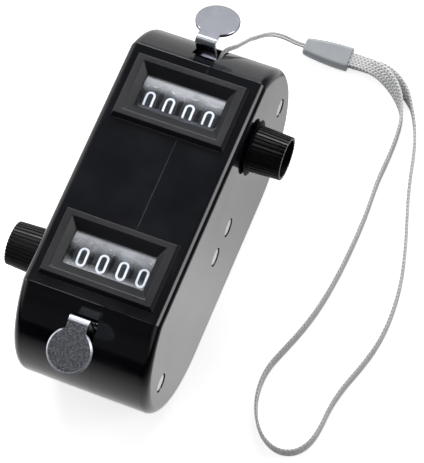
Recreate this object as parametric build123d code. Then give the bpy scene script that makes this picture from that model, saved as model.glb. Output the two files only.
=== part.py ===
from build123d import *
from math import atan2, cos, degrees, pi, radians, sin, sqrt, tan
import os

# Double tally counter: one case with two four-digit reset counters set head to tail, and a wrist strap.
# Millimetres. Origin under the middle of the case on the table, +X to the right counter's knob,
# +Y to the strap end, +Z up. The upper counter is modelled, and the lower one is it turned half round.

overrun = 5.0
short_overrun = 1.0

# case
case_width = 36.0
case_height = 49.0
case_half_length = 47.0
top_flat_half_length = 33.5
wall = 1.8
side_edge_radius = 2.3
seam_offset = 3.1
counter_offset = 22.0

# rivets
rivet_shank_radius = 1.4
rivet_head_radius = 2.3
rivet_head_height = 0.7
rivet_hole_clearance = 0.05
rivet_recess_depth = 0.9
rivet_recess_clearance = 0.2
rivet_boss_wall = 1.75
outer_rivet_offset = 39.4
inner_rivet_offset = 4.25

# window bezel and lens
aperture_length = 21.0
aperture_width = 8.9
rim_inner_length = 24.8
rim_inner_width = 14.0
rim_outer_length = 28.5
rim_outer_width = 16.8
bezel_height = 1.75
bezel_flare = 0.6
aperture_drop = 0.16
aperture_lip = 0.5
bezel_skirt_wall = 1.2
skirt_clearance = 0.1
lens_thickness = 1.0
lens_margin = 0.7
lens_clearance = 0.1

# number wheels
digit_pitch = 5.2
wheel_count = 4
drum_radius = 10.2
drum_width = 4.2
drum_rim = 1.2
drum_web = 1.2
wheel_gap = 0.2
wheel_hub_radius = 2.6
ratchet_radius = 6.9
tooth_depth = 1.0
deep_tooth_depth = 1.7
digits_per_wheel = 10
axle_drop = 12.65
bore_clearance = 0.05

# wheel shaft and clip
shaft_radius = 1.5
shaft_flat_depth = 0.4
shaft_grip = 4.6
shaft_overhang = 1.0
clip_radius = 2.6
clip_thickness = 0.5
clip_groove_depth = 0.35
clip_clearance = 0.05
clip_standoff = 0.3

# reset knob
knob_length = 9.0
knob_base_radius = 6.0
knob_end_radius = 5.56
knob_flange_radius = 7.25
knob_flange_width = 0.7
knob_wall_gap = 0.3
knob_rim = 0.75
knob_hub_length = 4.7
knob_hub_radius = 2.7
knob_floor = 2.4
rib_count = 36
rib_groove_radius = 0.3
rib_end_margin = 0.5
shaft_hole_clearance = 0.4

# chassis
chassis_thickness = 0.8
chassis_half_width = 11.6
chassis_floor_drop = 26.5
chassis_inner_end = 9.0
chassis_outer_end = 35.5
chassis_top_drop = 4.0
shelf_thickness = 1.5
shelf_reach = 2.1
holddown_thickness = 1.5
holddown_gap = 0.05
holddown_inner_place = 13.0
holddown_outer_place = 30.2

# outline of the chassis plate round the lever pin, in hub radii
plate_foot_drop = 5.5
plate_waist_drop = 3.5
plate_shoulder_drop = 2.0
plate_ear_reach = 1.2
plate_ear_rise = 0.9
plate_neck_reach = 1.3

# thumb lever
lever_pivot_place = 36.5
lever_pivot_drop = 9.5
lever_pin_radius = 1.0
lever_pin_head_radius = 1.6
lever_pin_head_length = 0.6
lever_hub_radius = 2.0
lever_hub_half_width = 4.0
lever_sheet = 0.8
lever_neck_width = 5.2
lever_bend_place = 38.5
lever_bend_rise = 2.3
lever_bend_radius = 0.9
pad_place = 46.25
pad_drop = 0.87
pad_radius = 5.65
lever_arm_width = 2.2
lever_arm_inset = 3.2
lever_slot_inner_end = 36.6
lever_slot_wide_end = 39.2
lever_slot_outer_end = 41.0
lever_slot_clearance = 0.25
cord_notch_end = 42.6
cord_notch_clearance = 0.15
lever_slot_depth = 10.5

# feed pawl and detent comb
pawl_pin_place = 34.5
pawl_pin_drop = 23.5
pawl_pin_radius = 0.8
pawl_eye_radius = 1.45
pawl_thickness = 0.8
pawl_side_gap = 0.2
tip_radius = 7.35
tip_angle = -72.0
knee_radius = 12.0
knee_angle = -72.0
finger_width = 0.6
finger_thickness = 0.6
spring_sheet = 0.5
detent_angle = 205.0
detent_knee_radius = 10.85
detent_foot_length = 3.7

# lever return spring
spring_radius = 2.0
spring_wire_radius = 0.25
spring_pitch = 0.95
spring_turns = 4.5
spring_inner_place = 5.1
spring_fixed_leg = 7.5
spring_fixed_hook = 1.9
spring_lever_leg = 2.6
spring_lever_hook = 1.7

# strap pin and its rib
strap_pin_place = 33.6
strap_pin_drop = 5.4
strap_pin_radius = 0.5
strap_pin_start = 2.2
strap_pin_end = 7.5
strap_rib_start = 4.6
strap_rib_margin = 0.6

# strap: doubled thin cord, sleeve and flat band
cord_radius = 0.33
strand_offset = 0.37
hairpin_radius = 1.1
hairpin_arc_share = 0.95
arc_share = 0.45
cord_near_pin_spread = 0.8
cord_x_at_pin = 3.2
sleeve_start = 12.2
sleeve_end = 25.1
sleeve_place = 68.8
sleeve_end_place = 69.0
sleeve_start_width = 4.6
sleeve_start_height = 2.6
sleeve_end_width = 6.6
sleeve_end_height = 3.2
sleeve_swell_width = 6.25
sleeve_swell_height = 3.1
sleeve_corner = 1.1
sleeve_nose_radius = 0.8
band_width = 4.2
band_thickness = 0.8
band_height = 2.15

# middle line of the doubled cord: in the lever's slot, each point's drop below the case top,
# then down to the table, each point's share of the last slot point's height
cord_in_slot = [
    (3.22, 36.2, 6.0),
    (3.25, 39.0, 4.9),
    (3.5, 41.2, 5.4),
    (4.3, 43.6, 7.7),
    (4.8, 45.6, 10.1),
]
cord_fall = [
    (4.64, 47.9, 0.9229),
    (4.45, 50.4, 0.8278),
    (4.2, 53.5, 0.7198),
    (3.65, 57.6, 0.5398),
    (3.8, 62.2, 0.3702),
    (4.6, 66.2, 0.2108),
    (6.9, 68.5, 0.0925),
]
cord_last = (9.5, 68.8)

# band from the sleeve, each point with the turn of its face from flat to on edge
band_first_end = [
    (25.1, 69.0, 2.05, 0.0),
    (29.5, 69.1, 2.05, 0.0),
    (34.0, 68.4, 2.1, 25.0),
    (38.3, 65.9, 2.1, 50.0),
    (41.8, 62.2, 2.15, 72.0),
    (44.0, 57.9, 2.15, 90.0),
]
band_last_end = [
    (25.1, 69.0, 1.1, 0.0),
    (29.5, 69.1, 1.1, 0.0),
    (34.2, 69.3, 1.35, 25.0),
    (39.3, 67.2, 1.95, 50.0),
    (43.2, 64.1, 2.15, 72.0),
    (46.2, 60.3, 2.15, 90.0),
]
# band on edge round the loop, from the one end to the other
band_route = [
    (44.0, 57.9),
    (44.8, 53.2),
    (45.0, 46.2),
    (44.6, 37.6),
    (45.2, 28.6),
    (45.1, 19.0),
    (44.5, 9.2),
    (43.3, 0.2),
    (41.3, -7.6),
    (38.9, -14.2),
    (36.8, -20.0),
    (36.6, -26.2),
    (38.3, -32.2),
    (41.8, -37.2),
    (46.6, -39.6),
    (51.2, -38.6),
    (54.1, -34.9),
    (55.1, -29.9),
    (55.3, -24.4),
    (56.5, -18.4),
    (58.8, -11.8),
    (60.8, -4.2),
    (61.3, 4.8),
    (60.2, 14.6),
    (57.5, 24.8),
    (54.2, 34.8),
    (52.2, 42.2),
    (50.9, 48.4),
    (49.1, 54.4),
    (46.2, 60.3),
]

mid_height = case_height / 2
lower_arc_centre = case_half_length - mid_height
upper_arc_centre = (case_half_length**2 - top_flat_half_length**2 - mid_height**2) / (
    2 * (case_half_length - top_flat_half_length)
)
lower_arc_radius = case_half_length - lower_arc_centre
upper_arc_radius = case_half_length - upper_arc_centre
half_width = case_width / 2
axle_height = case_height - axle_drop
chassis_floor_height = case_height - chassis_floor_drop
chassis_top = case_height - chassis_top_drop
lever_pivot_height = case_height - lever_pivot_drop
lever_bend_height = case_height + lever_bend_rise
pad_height = case_height - pad_drop
lever_slot_bottom = case_height - lever_slot_depth
pawl_pin_height = case_height - pawl_pin_drop
strap_pin_height = case_height - strap_pin_drop
bezel_skirt_length = aperture_length + 2 * (lens_margin + lens_clearance + bezel_skirt_wall)
bezel_skirt_width = aperture_width + 2 * (lens_margin + lens_clearance + bezel_skirt_wall)
slot_end_height = case_height - cord_in_slot[-1][2]
cord_exit_reach = cord_in_slot[2][0]
cord_route = [(x, y, case_height - drop) for x, y, drop in cord_in_slot]
cord_route += [(x, y, share * slot_end_height) for x, y, share in cord_fall]
cord_route += [(*cord_last, sleeve_end_height / 2)]
ratchet_width = digit_pitch - drum_width - wheel_gap
plate_inner_face = chassis_half_width - chassis_thickness
wheel_pack_half_width = wheel_count * digit_pitch / 2
knob_start = half_width + knob_wall_gap
chassis_floor_top = chassis_floor_height + chassis_thickness
rivet_boss_radius = rivet_shank_radius + rivet_hole_clearance + rivet_boss_wall
from_base = (Align.CENTER, Align.CENTER, Align.MIN)


def across(radius, start, end, place, height):
    """Round bar along X."""
    bar = Plane.YZ.offset(start) * Pos(place, height) * extrude(Circle(radius), amount=end - start)
    return bar


def block(x, y, z):
    """Box from pairs of limits."""
    size = (x[1] - x[0], y[1] - y[0], z[1] - z[0])
    middle = ((x[0] + x[1]) / 2, (y[0] + y[1]) / 2, (z[0] + z[1]) / 2)
    return Pos(*middle) * Box(*size)


def side_shape(points, start, end):
    """Flat shape in the side view, carried along X."""
    return extrude(Plane.YZ.offset(start) * make_face(Polyline(*points, close=True)), amount=end - start)


def body_outline(inset):
    """Side view of the case, drawn in by inset: flat top, two arcs at each end, flat bottom."""
    low_radius = lower_arc_radius - inset
    high_radius = upper_arc_radius - inset
    bottom = inset
    top = case_height - inset
    tip = case_half_length - inset
    crease_angle = atan2(top - mid_height, sqrt(high_radius**2 - (top - mid_height) ** 2))
    crease = upper_arc_centre + high_radius * cos(crease_angle)
    edges = []
    for side in (1, -1):
        low_middle = (
            side * (lower_arc_centre + low_radius * cos(pi / 4)),
            mid_height - low_radius * sin(pi / 4),
        )
        high_middle = (
            side * (upper_arc_centre + high_radius * cos(crease_angle / 2)),
            mid_height + high_radius * sin(crease_angle / 2),
        )
        edges.append(ThreePointArc((side * lower_arc_centre, bottom), low_middle, (side * tip, mid_height)))
        edges.append(ThreePointArc((side * tip, mid_height), high_middle, (side * crease, top)))
    edges.append(Line((-lower_arc_centre, bottom), (lower_arc_centre, bottom)))
    edges.append(Line((-crease, top), (crease, top)))
    return make_face(Curve() + edges)


def case_shell():
    outside = extrude(Plane.YZ.offset(-half_width) * body_outline(0), amount=case_width)
    side_faces = outside.faces().sort_by(Axis.X)
    outside = fillet(side_faces[0].edges() + side_faces[-1].edges(), side_edge_radius)
    room = half_width - wall
    inside = extrude(Plane.YZ.offset(-room) * body_outline(wall), amount=2 * room)
    return outside - inside


def case_inner_ribs():
    """Rivet bosses, shelves under each chassis and the ribs that hold it down."""
    room = half_width - wall
    reach = room + wall / 2
    ribs = Part()
    for place in (-outer_rivet_offset, -inner_rivet_offset, inner_rivet_offset, outer_rivet_offset):
        ribs += across(rivet_boss_radius, -reach, reach, place, mid_height)
    shelf_top = chassis_floor_height
    shelf = (shelf_top - shelf_thickness, shelf_top)
    rib_start = plate_inner_face
    ceiling = case_height - wall / 2
    for turn in (0, 180):
        for side in (1, -1):
            inner = (chassis_half_width - shelf_reach) * side
            shelf_x = tuple(sorted((inner, reach * side)))
            rib_x = tuple(sorted((rib_start * side, reach * side)))
            ribs += Rot(0, 0, turn) * block(shelf_x, (chassis_inner_end, chassis_outer_end), shelf)
            for place in (holddown_inner_place, holddown_outer_place):
                rib_y = (place, place + holddown_thickness)
                ribs += Rot(0, 0, turn) * block(rib_x, rib_y, (chassis_top + holddown_gap, ceiling))
    return ribs


def case_cuts():
    """Windows, lever slots, shaft holes and rivet holes."""
    cuts = Part()
    window_x = bezel_skirt_length / 2 + skirt_clearance
    window_y = bezel_skirt_width / 2 + skirt_clearance
    ceiling = case_height - wall
    slot_rise = (lever_slot_bottom, case_height + overrun)
    for turn in (0, 180):
        window = block(
            (-window_x, window_x),
            (counter_offset - window_y, counter_offset + window_y),
            (ceiling - short_overrun, case_height + overrun),
        )
        narrow = lever_neck_width / 2 + lever_slot_clearance
        slot = block((-narrow, narrow), (lever_slot_inner_end, lever_slot_outer_end), slot_rise)
        slot += block((-seam_offset, seam_offset), (lever_slot_inner_end, lever_slot_wide_end), slot_rise)
        hole_radius = shaft_radius + shaft_hole_clearance
        hole_start = half_width - wall - short_overrun
        hole = across(hole_radius, hole_start, half_width + overrun, counter_offset, axle_height)
        cuts += Rot(0, 0, turn) * (window + slot + hole)
    notch_reach = cord_exit_reach + cord_radius + cord_notch_clearance
    cuts += block((0, notch_reach), (lever_slot_inner_end, cord_notch_end), slot_rise)
    recess_start = half_width - rivet_recess_depth
    recess_radius = rivet_head_radius + rivet_recess_clearance
    for place in (-outer_rivet_offset, -inner_rivet_offset, inner_rivet_offset, outer_rivet_offset):
        hole_radius = rivet_shank_radius + rivet_hole_clearance
        cuts += across(hole_radius, -half_width - overrun, half_width + overrun, place, mid_height)
        for side in (-1, 1):
            recess = across(recess_radius, recess_start, half_width + overrun, place * side, mid_height)
            cuts += Rot(0, 0, 0 if side > 0 else 180) * recess
    return cuts


def strap_rib():
    """Rib under the ceiling of the right half that holds the strap pin."""
    side = strap_pin_radius + strap_rib_margin
    rib = block(
        (strap_rib_start, strap_pin_end),
        (strap_pin_place - side, strap_pin_place + side),
        (strap_pin_height - side, case_height - wall / 2),
    )
    hole_span = (strap_rib_start - overrun, strap_pin_end + overrun)
    hole = across(strap_pin_radius, *hole_span, strap_pin_place, strap_pin_height)
    return rib & extrude(Plane.YZ.offset(-half_width) * body_outline(wall / 2), amount=case_width), hole


def case_halves():
    rib, pin_hole = strap_rib()
    whole = case_shell() + case_inner_ribs() + rib - case_cuts() - pin_hole
    reach = case_half_length + overrun
    rise = (-overrun, case_height + overrun)
    right_space = block((seam_offset, half_width + overrun), (-reach, reach), rise)
    left_space = block((-half_width - overrun, seam_offset), (-reach, reach), rise)
    return whole & left_space, whole & right_space


def case_rivets():
    """Four tubular rivets through both halves, their heads sunk in round recesses."""
    rivets = Part()
    floor = half_width - rivet_recess_depth
    for place in (-outer_rivet_offset, -inner_rivet_offset, inner_rivet_offset, outer_rivet_offset):
        rivet = across(rivet_shank_radius, -floor, floor, place, mid_height)
        for side in (-1, 1):
            head = Cylinder(rivet_head_radius, rivet_head_height, align=from_base)
            crown = head.edges().sort_by(Axis.Z)[-1]
            head = fillet(crown, rivet_head_height / 2)
            rivet += Pos(side * floor, place, mid_height) * Rot(0, 90 * side, 0) * head
        rivets += rivet
    return rivets


def frustum(lower_size, upper_size, bottom, top):
    """Straight-sided block between two rectangles, lengthwise on X."""
    faces = [Pos(0, 0, bottom) * Rectangle(*lower_size), Pos(0, 0, top) * Rectangle(*upper_size)]
    return loft(faces, ruled=True)


def bezel():
    """Raised window frame with a bevelled outside, a mitred inner bevel and a skirt through the case."""
    rim_top = case_height + bezel_height
    lip_top = case_height - aperture_drop
    lip_bottom = lip_top - aperture_lip
    skirt_bottom = case_height - wall - skirt_clearance
    base_size = (rim_outer_length + 2 * bezel_flare, rim_outer_width + 2 * bezel_flare)
    frame = frustum(base_size, (rim_outer_length, rim_outer_width), case_height, rim_top)
    frame += block(
        (-bezel_skirt_length / 2, bezel_skirt_length / 2),
        (-bezel_skirt_width / 2, bezel_skirt_width / 2),
        (skirt_bottom, case_height),
    )
    opening, mouth = (aperture_length, aperture_width), (rim_inner_length, rim_inner_width)
    frame -= frustum(opening, mouth, lip_top, rim_top)
    window = block(
        (-aperture_length / 2, aperture_length / 2),
        (-aperture_width / 2, aperture_width / 2),
        (skirt_bottom - overrun, lip_top + short_overrun),
    )
    pocket_x = aperture_length / 2 + lens_margin + lens_clearance
    pocket_y = aperture_width / 2 + lens_margin + lens_clearance
    pocket = block((-pocket_x, pocket_x), (-pocket_y, pocket_y), (skirt_bottom - overrun, lip_bottom))
    return Pos(0, counter_offset, 0) * (frame - window - pocket)


def lens():
    """Clear pane in the pocket under the frame's lip."""
    top = case_height - aperture_drop - aperture_lip
    half_x = aperture_length / 2 + lens_margin
    half_y = aperture_width / 2 + lens_margin
    pane = block((-half_x, half_x), (-half_y, half_y), (top - lens_thickness, top))
    return Pos(0, counter_offset, 0) * pane


def ratchet_face():
    """Ten-tooth saw outline, with one deep tooth that lets the next wheel's finger drop in."""
    points = []
    step = 360 / digits_per_wheel
    for tooth in range(digits_per_wheel):
        angle = radians(tooth * step)
        depth = deep_tooth_depth if tooth == 0 else tooth_depth
        root = ratchet_radius - depth
        points.append((ratchet_radius * cos(angle), ratchet_radius * sin(angle)))
        points.append((root * cos(angle), root * sin(angle)))
    return make_face(Polyline(*points, close=True))


def number_wheel(index):
    """Number drum with its hub and its ratchet on the knob side."""
    start = -wheel_pack_half_width + index * digit_pitch + wheel_gap / 2
    drum_end = start + drum_width
    wheel_end = drum_end + ratchet_width
    drum = across(drum_radius, start, drum_end, 0, 0)
    drum -= across(drum_radius - drum_rim, start - overrun, drum_end - drum_web, 0, 0)
    hub = across(wheel_hub_radius, start, wheel_end, 0, 0)
    ratchet = extrude(Plane.YZ.offset(drum_end) * ratchet_face(), amount=ratchet_width)
    bore = across(shaft_radius + bore_clearance, start - overrun, wheel_end + overrun, 0, 0)
    return Pos(0, counter_offset, axle_height) * (drum + hub + ratchet - bore)


def shaft_section(clearance):
    """Round shaft with one flat, grown by a clearance."""
    section = Circle(shaft_radius + clearance)
    side = shaft_radius * 2
    flat = Pos(0, side / 2 + shaft_radius - shaft_flat_depth + clearance) * Rectangle(2 * side, side)
    return section - flat


def wheel_shaft():
    start = -chassis_half_width - clip_standoff - clip_thickness - shaft_overhang
    grip_start = knob_start
    grip_end = knob_start + shaft_grip
    shaft = across(shaft_radius, start, grip_start, 0, 0)
    shaft += extrude(Plane.YZ.offset(grip_start) * shaft_section(0), amount=grip_end - grip_start)
    groove_start = -chassis_half_width - clip_standoff - clip_thickness - clip_clearance
    groove_end = -chassis_half_width - clip_standoff + clip_clearance
    groove = across(shaft_radius + overrun, groove_start, groove_end, 0, 0)
    groove -= across(shaft_radius - clip_groove_depth, groove_start, groove_end, 0, 0)
    return Pos(0, counter_offset, axle_height) * (shaft - groove)


def shaft_clip():
    """Spring clip in the groove at the far end of the shaft."""
    start = -chassis_half_width - clip_standoff - clip_thickness
    end = start + clip_thickness
    inner = shaft_radius - clip_groove_depth + clip_clearance
    ring = across(clip_radius, start, end, 0, 0) - across(inner, start, end, 0, 0)
    mouth = block((start, end), (-inner, inner), (-clip_radius - overrun, 0))
    return Pos(0, counter_offset, axle_height) * (ring - mouth)


def reset_knob():
    """Tapered ribbed knob with a pointed flange at the case and a hollow end."""
    length = knob_length
    flange = knob_flange_width
    flange_foot = (knob_base_radius + knob_flange_radius) / 2
    outline = [
        (0, 0),
        (flange_foot, 0),
        (knob_flange_radius, flange / 2),
        (knob_base_radius, flange),
        (knob_end_radius, length),
        (0, length),
    ]
    knob = revolve(Plane.XZ * make_face(Polyline(*outline, close=True)), Axis.Z)
    lean = degrees(atan2(knob_base_radius - knob_end_radius, length - flange))
    groove_length = length - flange - rib_end_margin
    middle = flange + rib_end_margin + groove_length / 2
    middle_share = (middle - flange) / (length - flange)
    middle_radius = knob_base_radius - (knob_base_radius - knob_end_radius) * middle_share
    groove = Cylinder(rib_groove_radius, groove_length + short_overrun)
    groove = Pos(middle_radius, 0, middle) * Rot(0, -lean, 0) * groove
    knob -= [Rot(0, 0, turn * 360 / rib_count) * groove for turn in range(rib_count)]
    recess_radius = knob_end_radius - knob_rim
    recess = Cylinder(recess_radius, length, align=from_base)
    recess -= Cylinder(knob_hub_radius, knob_hub_length - knob_floor, align=from_base)
    knob -= Pos(0, 0, knob_floor) * recess
    knob = Pos(knob_start, counter_offset, axle_height) * Rot(0, 90, 0) * knob
    bore_face = Plane.YZ.offset(knob_start - overrun) * shaft_section(bore_clearance / 2)
    bore = extrude(bore_face, amount=overrun + shaft_grip)
    return knob - Pos(0, counter_offset, axle_height) * bore


def chassis():
    """Folded sheet channel that carries the wheel shaft and the lever pin."""
    low = chassis_floor_height
    high = chassis_top
    step = lever_hub_radius
    plate_outline = [
        (chassis_inner_end, low),
        (chassis_outer_end, low),
        (chassis_outer_end, lever_pivot_height - plate_foot_drop * step),
        (lever_pivot_place + step / 2, lever_pivot_height - plate_waist_drop * step),
        (lever_pivot_place + plate_ear_reach * step, lever_pivot_height - plate_shoulder_drop * step),
        (lever_pivot_place + plate_ear_reach * step, lever_pivot_height + plate_ear_rise * step),
        (lever_pivot_place + step / 4, lever_pivot_height + plate_ear_reach * step),
        (strap_pin_place - plate_neck_reach * step, high),
        (chassis_inner_end + step, high),
        (chassis_inner_end, high - step),
    ]
    plates = side_shape(plate_outline, plate_inner_face, chassis_half_width)
    plates += side_shape(plate_outline, -chassis_half_width, -plate_inner_face)
    floor = block(
        (-chassis_half_width, chassis_half_width),
        (chassis_inner_end, chassis_outer_end),
        (low, chassis_floor_top),
    )
    channel = plates + floor
    reach = chassis_half_width + overrun
    channel -= across(shaft_radius + bore_clearance, -reach, reach, counter_offset, axle_height)
    channel -= across(lever_pin_radius, -reach, reach, lever_pivot_place, lever_pivot_height)
    return channel


def lever_pin():
    """Headed pin across the chassis plates."""
    end = chassis_half_width + lever_pin_head_length
    pin = across(lever_pin_radius, -end, end, lever_pivot_place, lever_pivot_height)
    for side in (-1, 1):
        limits = sorted((side * chassis_half_width, side * end))
        pin += across(lever_pin_head_radius, limits[0], limits[1], lever_pivot_place, lever_pivot_height)
    return pin


def bar_outline(first, second, width):
    """Corners of a straight bar in the side view."""
    run = (second[0] - first[0], second[1] - first[1])
    length = sqrt(run[0] ** 2 + run[1] ** 2)
    side = (-run[1] / length * width / 2, run[0] / length * width / 2)
    return [
        (first[0] + side[0], first[1] + side[1]),
        (second[0] + side[0], second[1] + side[1]),
        (second[0] - side[0], second[1] - side[1]),
        (first[0] - side[0], first[1] - side[1]),
    ]


def thumb_lever():
    """Bent sheet lever: round thumb pad, neck, riser through the slot, hub on the pin and two lower arms."""
    slope = atan2(lever_bend_height - pad_height, pad_place - lever_bend_place)
    bend = (0, lever_bend_place, lever_bend_height)
    pad_centre = (0, pad_place, pad_height)
    foot = (0, lever_bend_place, lever_pivot_height)
    strip_line = FilletPolyline(pad_centre, bend, foot, radius=lever_bend_radius)
    strip_start = Plane(origin=pad_centre, x_dir=(1, 0, 0), z_dir=strip_line % 0)
    lever = sweep(strip_start * Rectangle(lever_neck_width, lever_sheet), path=strip_line)
    pad_plane = Plane(origin=pad_centre, x_dir=(1, 0, 0), z_dir=(0, sin(slope), cos(slope)))
    lever += pad_plane * Cylinder(pad_radius, lever_sheet)
    pivot = (lever_pivot_place, lever_pivot_height)
    hook = (pawl_pin_place, pawl_pin_height)
    lever += across(lever_hub_radius, -lever_hub_half_width, lever_hub_half_width, *pivot)
    for side in (-1, 1):
        start, end = sorted((side * lever_arm_inset, side * lever_hub_half_width))
        lever += side_shape(bar_outline(pivot, hook, lever_arm_width), start, end)
        lever += across(pawl_eye_radius, start, end, *hook)
        lever -= across(pawl_pin_radius, start - short_overrun, end + short_overrun, *hook)
    return lever - across(lever_pin_radius + bore_clearance, -case_width, case_width, *pivot)


def pawl_pin():
    end = lever_hub_half_width + pawl_pin_radius
    return across(pawl_pin_radius, -end, end, pawl_pin_place, pawl_pin_height)


def around_axle(radius, angle):
    """Place in the side view from the wheel axis."""
    return (counter_offset + radius * cos(radians(angle)), axle_height + radius * sin(radians(angle)))


def comb_fingers(knee, tip):
    """One finger in the gap beside each ratchet, from a comb's plate to the teeth."""
    fingers = Part()
    for index in range(wheel_count):
        gap_middle = index * digit_pitch - wheel_pack_half_width + (drum_width + digit_pitch + wheel_gap) / 2
        start = gap_middle - finger_width / 2
        fingers += side_shape(bar_outline(knee, tip, finger_thickness), start, start + finger_width)
    return fingers


def feed_pawl():
    """Comb that pushes the ratchets, hinged on the lever's lower arms."""
    eye = (pawl_pin_place, pawl_pin_height)
    knee = around_axle(knee_radius, knee_angle)
    tip = around_axle(tip_radius, tip_angle)
    half_comb = plate_inner_face - 2 * pawl_side_gap
    tongue_end = lever_arm_inset - pawl_side_gap
    shoulder = (
        eye[0] + (knee[0] - eye[0]) * pawl_pin_radius / pawl_eye_radius,
        eye[1] + (knee[1] - eye[1]) * pawl_pin_radius / pawl_eye_radius,
    )
    pawl = side_shape(bar_outline(eye, knee, pawl_thickness), -tongue_end, tongue_end)
    pawl += across(pawl_eye_radius, -tongue_end, tongue_end, *eye)
    pawl += side_shape(bar_outline(shoulder, knee, pawl_thickness), -half_comb, half_comb)
    pawl += comb_fingers(knee, tip)
    return pawl - across(pawl_pin_radius + bore_clearance, -case_width, case_width, *eye)


def detent_comb():
    """Spring comb on the chassis floor that steadies the wheels from the other side."""
    half_comb = plate_inner_face - pawl_side_gap
    foot_start = chassis_inner_end + spring_sheet / 2
    floor = chassis_floor_top
    knee = around_axle(detent_knee_radius, detent_angle)
    tip = around_axle(tip_radius, detent_angle)
    elbow = (foot_start + spring_sheet / 2, knee[1] - drum_rim)
    foot_span = (foot_start, foot_start + detent_foot_length)
    comb = block((-half_comb, half_comb), foot_span, (floor, floor + spring_sheet))
    comb += block((-half_comb, half_comb), (foot_start, foot_start + spring_sheet), (floor, elbow[1]))
    comb += side_shape(bar_outline(elbow, knee, spring_sheet), -half_comb, half_comb)
    return comb + comb_fingers(knee, tip)


def return_spring():
    """Torsion coil round the lever pin, hooked past the chassis plate's edge and behind the lever's arm."""
    height = spring_pitch * spring_turns
    coil_frame = Plane(
        origin=(spring_inner_place + height, lever_pivot_place, lever_pivot_height),
        x_dir=(0, 1, 0),
        z_dir=(-1, 0, 0),
    )
    coil = coil_frame * Helix(spring_pitch, height, spring_radius, lefthand=True)
    fixed_foot = coil @ 0 - (coil % 0) * spring_fixed_leg
    lever_foot = coil @ 1 + (coil % 1) * spring_lever_leg
    bend = 2 * spring_wire_radius
    fixed_end = fixed_foot + Vector(spring_fixed_hook, 0, 0)
    lever_end = lever_foot - Vector(spring_lever_hook, 0, 0)
    fixed_leg = FilletPolyline(fixed_end, fixed_foot, coil @ 0, radius=bend)
    lever_leg = FilletPolyline(coil @ 1, lever_foot, lever_end, radius=bend)
    path = Wire(list(fixed_leg.edges()) + list(coil.edges()) + list(lever_leg.edges()))
    wire = Plane(origin=path @ 0, z_dir=path % 0) * Circle(spring_wire_radius)
    print("return_spring gap between turns", round(spring_pitch - 2 * spring_wire_radius, 2))
    return sweep(wire, path=path)


def strap_pin():
    return across(strap_pin_radius, strap_pin_start, strap_pin_end, strap_pin_place, strap_pin_height)


def arc_radii(points):
    """Radius at each inner point: as large as the shorter of its two runs allows."""
    radii = []
    for before, corner, after in zip(points, points[1:], points[2:]):
        first = Vector(*corner) - Vector(*before)
        second = Vector(*after) - Vector(*corner)
        turn = radians(first.get_angle(second))
        radii.append(arc_share * min(first.length, second.length) / tan(turn / 2))
    return radii


def report_tube(name, path, solid, section_area, radii):
    """Compare the tube's volume with its section times its length."""
    print(name, "length", round(path.length, 1), "smallest radius", round(min(radii), 2))
    print(name, "volume", round(solid.volume, 2), "section x length", round(section_area * path.length, 2))


def strand_points(side):
    """One strand of the doubled cord, beside the middle line in the side view."""
    points = []
    pin_point = (cord_x_at_pin, strap_pin_place, strap_pin_height)
    sleeve_point = (sleeve_start, sleeve_place, sleeve_end_height / 2)
    middle = [pin_point] + cord_route + [sleeve_point]
    for before, here, after in zip(middle, middle[1:], middle[2:]):
        run = (after[1] - before[1], after[2] - before[2])
        length = sqrt(run[0] ** 2 + run[1] ** 2)
        spread = cord_near_pin_spread if here == cord_route[0] else strand_offset
        aside = side * spread / length
        points.append((here[0], here[1] - aside * run[1], here[2] + aside * run[0]))
    last = points.pop()
    points.append((last[0], sleeve_place + side * strand_offset, last[2]))
    points.append((sleeve_start, sleeve_place + side * strand_offset, last[2]))
    return points


def strap_cord():
    """Doubled thin cord: from the sleeve through the slot, round the pin and back."""
    upper = strand_points(1)
    lower = strand_points(-1)
    back = strap_pin_place - hairpin_radius
    hairpin = [
        (cord_x_at_pin, back, strap_pin_height + hairpin_radius),
        (cord_x_at_pin, back, strap_pin_height - hairpin_radius),
    ]
    points = list(reversed(upper)) + hairpin + lower
    radii = arc_radii(points)
    first = len(upper) - 1
    for corner in (first, first + 1):
        radii[corner] = hairpin_radius * hairpin_arc_share
    path = FilletPolyline(*points, radius=radii)
    section = Plane(origin=path @ 0, z_dir=path % 0) * Circle(cord_radius)
    cord = sweep(section, path=path)
    report_tube("strap_cord", path, cord, pi * cord_radius**2, radii)
    return cord


def strap_sleeve():
    """Moulded sleeve that joins the cord to the band, swelling to the band."""
    middle_height = sleeve_end_height / 2
    halfway = ((sleeve_start + sleeve_end) / 2, (sleeve_place + sleeve_end_place) / 2)
    stations = [
        ((sleeve_start, sleeve_place), sleeve_start_width, sleeve_start_height),
        (halfway, sleeve_swell_width, sleeve_swell_height),
        ((sleeve_end, sleeve_end_place), sleeve_end_width, sleeve_end_height),
    ]
    sections = []
    for place, width, height in stations:
        face = Plane(origin=(*place, middle_height), x_dir=(0, 1, 0), z_dir=(1, 0, 0))
        sections.append(face * RectangleRounded(width, height, sleeve_corner))
    sleeve = loft(sections)
    return fillet(sleeve.faces().sort_by(Axis.X)[0].edges(), sleeve_nose_radius)


def turned_section(point, direction):
    """Band section whose face is turned from flat to on edge."""
    turn = radians(point[3])
    flat = Vector(direction[0], direction[1], 0).normalized()
    left = Vector(-flat.Y, flat.X, 0)
    wide = left * cos(turn) + Vector(0, 0, 1) * sin(turn)
    plane = Plane(origin=point[:3], x_dir=wide, z_dir=flat)
    return plane * Rectangle(band_width, band_thickness)


def band_end(points, leave):
    """Band between the sleeve and the loop, turning over steadily from flat to on edge."""
    sections = []
    for index, point in enumerate(points):
        before = points[max(index - 1, 0)]
        after = points[min(index + 1, len(points) - 1)]
        direction = (after[0] - before[0], after[1] - before[1])
        if index == 0:
            direction = (1, 0)
        if index == len(points) - 1:
            direction = leave
        sections.append(turned_section(point, direction))
    return loft(sections, ruled=True)


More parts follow.
